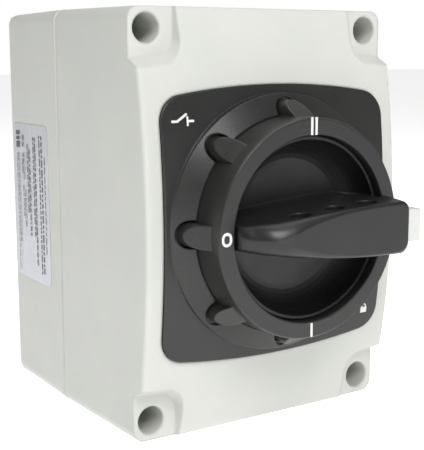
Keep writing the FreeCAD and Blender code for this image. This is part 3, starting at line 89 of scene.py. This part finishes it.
class Finish:
    """A procedural material, with short ways to add and join its nodes."""

    def __init__(self, name):
        self.material = bpy.data.materials.new(name)
        self.material.use_nodes = True
        self.tree = self.material.node_tree
        self.tree.nodes.clear()
        self.output = self.add("ShaderNodeOutputMaterial")
        self.shader = self.add("ShaderNodeBsdfPrincipled")
        self.join(self.shader, "BSDF", self.output, "Surface")
        self.place = self.add("ShaderNodeTexCoord")

    def add(self, kind, **settings):
        node = self.tree.nodes.new(kind)
        for key, value in settings.items():
            setattr(node, key, value)
        return node

    def join(self, source, out, target, into):
        self.tree.links.new(source.outputs[out], target.inputs[into])

    def noise(self, size, detail=2.0, rough=0.5, stretch=(1.0, 1.0, 1.0)):
        """Noise whose lumps are about size across, in metres."""
        turn = self.add("ShaderNodeMapping")
        turn.inputs["Scale"].default_value = stretch
        self.join(self.place, "Object", turn, "Vector")
        noise = self.add("ShaderNodeTexNoise")
        noise.inputs["Scale"].default_value = 1.0 / size
        noise.inputs["Detail"].default_value = detail
        noise.inputs["Roughness"].default_value = rough
        self.join(turn, "Vector", noise, "Vector")
        return noise

    def spread(self, source, out, low, high, low_in=0.3, high_in=0.7):
        """source's values from low_in to high_in, spread over low to high."""
        spread = self.add("ShaderNodeMapRange")
        spread.inputs["From Min"].default_value = low_in
        spread.inputs["From Max"].default_value = high_in
        spread.inputs["To Min"].default_value = low
        spread.inputs["To Max"].default_value = high
        self.join(source, out, spread, "Value")
        return spread

    def blend(self, factor, out, first, second):
        """A colour between first and second, each a colour or a (node, output) pair."""
        mix = self.add("ShaderNodeMix", data_type="RGBA")
        self.join(factor, out, mix, "Factor")
        for value, socket in ((first, mix.inputs[6]), (second, mix.inputs[7])):
            if isinstance(value[0], bpy.types.Node):
                self.tree.links.new(value[0].outputs[value[1]], socket)
            else:
                socket.default_value = (*value, 1.0)
        return mix

    def colour(self, node, out=2):
        self.tree.links.new(node.outputs[out], self.shader.inputs["Base Color"])

    def relief(self, layers, rounding=0.0):
        """Bumps of (noise, depth in metres), over edges rounded by so many metres."""
        below = None
        if rounding:
            below = self.add("ShaderNodeBevel", samples=BEVEL_SAMPLES)
            below.inputs["Radius"].default_value = rounding
        for noise, depth in layers:
            bump = self.add("ShaderNodeBump")
            bump.inputs["Distance"].default_value = depth
            self.join(noise, 0, bump, "Height")
            if below:
                self.join(below, "Normal", bump, "Normal")
            below = bump
        self.join(below, "Normal", self.shader, "Normal")

    def edges(self, width, low=0.02, high=0.3):
        """1 on edges about width across, 0 elsewhere."""
        soft = self.add("ShaderNodeBevel", samples=BEVEL_SAMPLES)
        soft.inputs["Radius"].default_value = width
        here = self.add("ShaderNodeNewGeometry")
        dot = self.add("ShaderNodeVectorMath", operation="DOT_PRODUCT")
        self.tree.links.new(soft.outputs["Normal"], dot.inputs[0])
        self.tree.links.new(here.outputs["Normal"], dot.inputs[1])
        return self.spread(dot, "Value", 1.0, 0.0, 1.0 - high, 1.0 - low)


def moulded(name, body, shade, rub_wear_and_sheen_colour, gloss, rounding, grain, edge):
    """Moulded plastic: slow tint drift, spark-eroded grain, faint flow waviness, and edges painted
    lighter, partly as rub wear and partly as a painted edge highlight.
    """
    finish = Finish(name)
    drift = finish.noise(22 * MM, detail=3.0)
    tint = finish.blend(finish.spread(drift, 0, 0.0, 1.0), 0, body, shade)
    # Lighter colour along the edges: partly rub wear, partly a painted highlight on the rounded
    # edges.
    rub_and_sheen = finish.edges(edge)
    patch = finish.noise(3 * MM, detail=4.0)
    broken_rub_and_sheen = finish.add("ShaderNodeMath", operation="MULTIPLY")
    finish.join(rub_and_sheen, 0, broken_rub_and_sheen, 0)
    finish.tree.links.new(finish.spread(patch, 0, 0.15, 0.8).outputs[0], broken_rub_and_sheen.inputs[1])
    finish.colour(finish.blend(broken_rub_and_sheen, 0, (tint, 2), rub_wear_and_sheen_colour))
    smear = finish.noise(9 * MM, detail=5.0, rough=0.6)
    dull = finish.spread(smear, 0, gloss[0], gloss[1])
    finish.join(dull, 0, finish.shader, "Roughness")
    finish.relief(
        [(finish.noise(14 * MM, detail=1.0), 0.05 * MM), (finish.noise(0.45 * MM), grain)],
        rounding,
    )
    finish.shader.inputs["IOR"].default_value = PLASTIC_IOR
    return finish.material


def metal(name, colour, dark, gloss, brush, stretch):
    """Metal with drawn or rolled lines and a slight tarnish."""
    finish = Finish(name)
    stain = finish.noise(5 * MM, detail=5.0, rough=0.65)
    finish.colour(finish.blend(finish.spread(stain, 0, 0.0, 1.0), 0, colour, dark))
    lines = finish.noise(brush, detail=3.0, stretch=stretch)
    finish.join(finish.spread(lines, 0, gloss[0], gloss[1]), 0, finish.shader, "Roughness")
    finish.relief([(lines, 0.01 * MM)], 0.15 * MM)
    finish.shader.inputs["Metallic"].default_value = 1.0
    return finish.material


def rubber(name, body, dusty):
    """Matt rubber with a dusty bloom."""
    finish = Finish(name)
    bloom = finish.noise(2.5 * MM, detail=6.0, rough=0.7)
    finish.colour(finish.blend(finish.spread(bloom, 0, 0.0, 1.0), 0, body, dusty))
    finish.join(finish.spread(bloom, 0, 0.65, 0.9), 0, finish.shader, "Roughness")
    finish.relief([(finish.noise(0.3 * MM), 0.03 * MM)], 0.2 * MM)
    return finish.material


def ink(name, body, thin):
    """Printed ink: nearly even, thinner in specks."""
    finish = Finish(name)
    speck = finish.noise(0.35 * MM, detail=3.0)
    finish.colour(finish.blend(finish.spread(speck, 0, 0.0, 1.0), 0, body, thin))
    finish.join(finish.spread(speck, 0, 0.35, 0.55), 0, finish.shader, "Roughness")
    finish.relief([(speck, 0.01 * MM)])
    return finish.material


def foil(name, body, shade):
    """Metallised polyester label with a fine grain along it."""
    finish = Finish(name)
    grain = finish.noise(0.5 * MM, detail=4.0, stretch=(1.0, 1.0, 0.08))
    sheen = finish.noise(18 * MM, detail=2.0)
    finish.colour(finish.blend(finish.spread(sheen, 0, 0.0, 1.0), 0, body, shade))
    finish.join(finish.spread(grain, 0, 0.28, 0.42), 0, finish.shader, "Roughness")
    finish.relief([(sheen, 0.06 * MM), (grain, 0.006 * MM)])
    finish.shader.inputs["Metallic"].default_value = FOIL_METALLIC
    return finish.material


# For moulded finishes the third colour is the edge colour: partly rub wear, partly a painted
# highlight along the edges.
finishes = {
    "housing_grey": moulded(
        "housing_grey", (0.600, 0.610, 0.570), (0.575, 0.585, 0.550), (0.680, 0.690, 0.655),
        (0.36, 0.46), 1.5 * MM, 0.012 * MM, 0.8 * MM,
    ),
    "black_plastic": moulded(
        "black_plastic", (0.0190, 0.0190, 0.0185), (0.0230, 0.0230, 0.0220), (0.060, 0.060, 0.057),
        (0.26, 0.36), 0.8 * MM, 0.008 * MM, 0.5 * MM,
    ),
    "handle_black": moulded(
        "handle_black", (0.0120, 0.0120, 0.0116), (0.0150, 0.0150, 0.0145), (0.055, 0.055, 0.052),
        (0.30, 0.42), 0.8 * MM, 0.012 * MM, 0.6 * MM,
    ),
    "slide_grey": moulded(
        "slide_grey", (0.640, 0.650, 0.630), (0.615, 0.625, 0.600), (0.700, 0.700, 0.690),
        (0.38, 0.48), 0.5 * MM, 0.010 * MM, 0.5 * MM,
    ),
    "switch_grey": moulded(
        "switch_grey", (0.280, 0.285, 0.280), (0.255, 0.260, 0.255), (0.340, 0.345, 0.340),
        (0.40, 0.52), 0.3 * MM, 0.012 * MM, 0.3 * MM,
    ),
    "deck_dark": moulded(
        "deck_dark", (0.045, 0.048, 0.052), (0.055, 0.058, 0.062), (0.090, 0.094, 0.098),
        (0.42, 0.55), 0.3 * MM, 0.014 * MM, 0.3 * MM,
    ),
    "rotor_black": moulded(
        "rotor_black", (0.020, 0.020, 0.022), (0.027, 0.027, 0.029), (0.060, 0.060, 0.062),
        (0.30, 0.42), 0.3 * MM, 0.010 * MM, 0.3 * MM,
    ),
    "white_print": ink("white_print", (0.820, 0.825, 0.815), (0.740, 0.745, 0.735)),
    "seal_rubber": rubber("seal_rubber", (0.022, 0.022, 0.022), (0.040, 0.040, 0.039)),
    "zinc_steel": metal(
        "zinc_steel", (0.600, 0.610, 0.620), (0.480, 0.490, 0.500), (0.25, 0.42), 0.8 * MM,
        (1.0, 1.0, 0.15),
    ),
    "spring_steel": metal(
        "spring_steel", (0.500, 0.500, 0.510), (0.360, 0.365, 0.380), (0.20, 0.36), 0.5 * MM,
        (1.0, 1.0, 1.0),
    ),
    "brass_parts": metal(
        "brass_parts", (0.780, 0.570, 0.260), (0.600, 0.420, 0.180), (0.22, 0.40), 0.7 * MM,
        (1.0, 0.2, 1.0),
    ),
    "copper_contact": metal(
        "copper_contact", (0.830, 0.500, 0.340), (0.620, 0.340, 0.220), (0.24, 0.42), 0.6 * MM,
        (0.2, 1.0, 1.0),
    ),
    "label_foil": foil("label_foil", (0.600, 0.610, 0.640), (0.540, 0.550, 0.580)),
}

for entry in frame["record"]["subparts"]:
    slots = nodes[entry["node"]].data.materials
    slots.clear()
    slots.append(finishes[entry["material_slot"]])


# ---------------------------------------------------------------- label print

LABEL_LOW, LABEL_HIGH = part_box("rating_label")


def printed_bars(name, columns, seed):
    """Short bars of random length, one below another in columns on the label."""
    chance = random.Random(seed)
    mesh = bmesh.new()
    x = LABEL_LOW.x - PRINT_LIFT
    for offset, width, gap, start, stop in columns:
        y = LABEL_HIGH.y - offset * MM
        z = LABEL_HIGH.z - start * MM
        while z > LABEL_HIGH.z - stop * MM:
            run = chance.uniform(SHORTEST_BAR, LONGEST_BAR) * MM
            corners = [
                (x, y, z), (x, y - width * MM, z),
                (x, y - width * MM, z - run), (x, y, z - run),
            ]
            mesh.faces.new([mesh.verts.new(c) for c in corners])
            z -= run + gap * MM
    data = bpy.data.meshes.new(name)
    mesh.to_mesh(data)
    mesh.free()
    piece = bpy.data.objects.new(name, data)
    bpy.context.scene.collection.objects.link(piece)
    return piece


label_ink = ink("label_ink", (0.055, 0.058, 0.065), (0.120, 0.122, 0.130))
# Millimetres: from the label's back edge, bar width, gap, and from its top to the first and last bar.
print_columns = [
    (3.5, 2.6, 0.6, 3.0, 9.5),
    (3.8, 0.5, 0.5, 12.0, 60.0),
    (5.0, 0.5, 0.5, 12.0, 48.0),
    (9.5, 0.9, 0.4, 4.5, 7.5),
    (9.0, 0.6, 0.5, 12.0, 20.0),
    (10.2, 0.6, 0.5, 12.0, 22.0),
    (9.5, 0.6, 0.5, 25.0, 38.0),
    (10.9, 0.6, 0.5, 27.0, 40.0),
    (14.0, 0.8, 0.6, 8.0, 34.0),
    (15.8, 0.8, 0.6, 10.0, 46.0),
    (20.0, 0.7, 0.6, 5.0, 44.0),
    (21.7, 0.7, 0.6, 5.0, 56.0),
    (26.0, 0.7, 0.6, 4.0, 60.0),
    (28.0, 1.0, 0.7, 4.0, 58.0),
    (31.0, 0.6, 0.6, 12.0, 50.0),
]
label_print = printed_bars("label_print", print_columns, PRINT_SEED)
label_print.data.materials.append(label_ink)
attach(label_print, "box")


# ---------------------------------------------------------------- studio

def surface(name, corners, material):
    mesh = bpy.data.meshes.new(name)
    mesh.from_pydata(corners, [], [tuple(range(len(corners)))])
    mesh.materials.append(material)
    piece = bpy.data.objects.new(name, mesh)
    bpy.context.scene.collection.objects.link(piece)
    return piece


def paper(name):
    """Pale seamless paper that glows a little, so that it stays near white."""
    finish = Finish(name)
    fibre = finish.noise(6 * MM, detail=4.0)
    tint = finish.blend(finish.spread(fibre, 0, 0.0, 1.0), 0, (0.90, 0.90, 0.90), (0.88, 0.88, 0.88))
    finish.colour(tint)
    finish.shader.inputs["Roughness"].default_value = 0.8
    finish.shader.inputs["Emission Color"].default_value = (1.0, 1.0, 1.0, 1.0)
    finish.shader.inputs["Emission Strength"].default_value = FLOOR_GLOW
    return finish.material


floor_z = cad_low.z
floor = surface(
    "floor",
    [(-FLOOR_HALF, -FLOOR_HALF, floor_z), (FLOOR_HALF, -FLOOR_HALF, floor_z),
     (FLOOR_HALF, FLOOR_HALF, floor_z), (-FLOOR_HALF, FLOOR_HALF, floor_z)],
    paper("studio_paper"),
)


def softbox(name, towards, distance, width, height, power, centre=(0.0, -0.07, 0.0)):
    """An area light at distance from centre in the direction towards, facing the centre."""
    data = bpy.data.lights.new(name, "AREA")
    data.shape = "RECTANGLE"
    data.size = width
    data.size_y = height
    data.energy = power
    lamp = bpy.data.objects.new(name, data)
    bpy.context.scene.collection.objects.link(lamp)
    direction = Vector(towards).normalized()
    lamp.location = Vector(centre) + direction * distance
    lamp.rotation_mode = "QUATERNION"
    lamp.rotation_quaternion = (-direction).to_track_quat("-Z", "Y")
    return lamp


# Name: direction from the object, distance, width, height, radiance.
softboxes = {
    "key": ((-0.27, -0.64, 0.72), 1.1, 0.62, 0.5, 8.8),
    "low": ((-0.1, -0.95, -0.06), 0.6, 0.45, 0.2, 1.3),
    "overhead": ((0.1, 0.15, 1.0), 1.2, 0.9, 0.9, 1.6),
}
for name, (towards, distance, width, height, radiance) in softboxes.items():
    softbox(name, towards, distance, width, height, radiance * width * height * math.pi)


def studio_sky():
    """White background, dimmer where it lights the object, and dimmest on the left."""
    world = bpy.data.worlds.new("studio")
    world.use_nodes = True
    tree = world.node_tree
    tree.nodes.clear()
    link = tree.links.new
    skies = []
    for strength in (OPEN_SKY, MIRRORED_SKY, SEEN_SKY):
        sky = tree.nodes.new("ShaderNodeBackground")
        sky.inputs["Color"].default_value = (1.0, 1.0, 1.0, 1.0)
        sky.inputs["Strength"].default_value = strength
        skies.append(sky)
    place = tree.nodes.new("ShaderNodeTexCoord")
    split = tree.nodes.new("ShaderNodeSeparateXYZ")
    across = tree.nodes.new("ShaderNodeMapRange")
    across.inputs["From Min"].default_value = -0.6
    across.inputs["From Max"].default_value = 0.2
    across.inputs["To Min"].default_value = LEFT_SKY
    across.inputs["To Max"].default_value = OPEN_SKY
    link(place.outputs["Generated"], split.inputs[0])
    link(split.outputs["X"], across.inputs["Value"])
    link(across.outputs[0], skies[0].inputs["Strength"])
    path = tree.nodes.new("ShaderNodeLightPath")
    chosen = skies[0]
    for ray, sky in (("Is Glossy Ray", skies[1]), ("Is Camera Ray", skies[2])):
        mix = tree.nodes.new("ShaderNodeMixShader")
        link(path.outputs[ray], mix.inputs[0])
        link(chosen.outputs[0], mix.inputs[1])
        link(sky.outputs[0], mix.inputs[2])
        chosen = mix
    output = tree.nodes.new("ShaderNodeOutputWorld")
    link(chosen.outputs[0], output.inputs["Surface"])
    return world


bpy.context.scene.world = studio_sky()
bpy.context.scene.view_settings.view_transform = "Standard"


# ---------------------------------------------------------------- camera

camera_data = bpy.data.cameras.new("camera")
camera_data.lens = CAMERA_LENS
camera_data.sensor_width = 36.0
camera_data.clip_start = 0.01
camera_data.clip_end = 50.0
camera = bpy.data.objects.new("camera", camera_data)
bpy.context.scene.collection.objects.link(camera)
camera.location = CAMERA_AT
camera.rotation_mode = "QUATERNION"
camera.rotation_quaternion = (
    CAMERA_TOWARDS.to_track_quat("-Z", "Y") @ Quaternion((0.0, 0.0, 1.0), CAMERA_ROLL)
)
bpy.context.scene.camera = camera
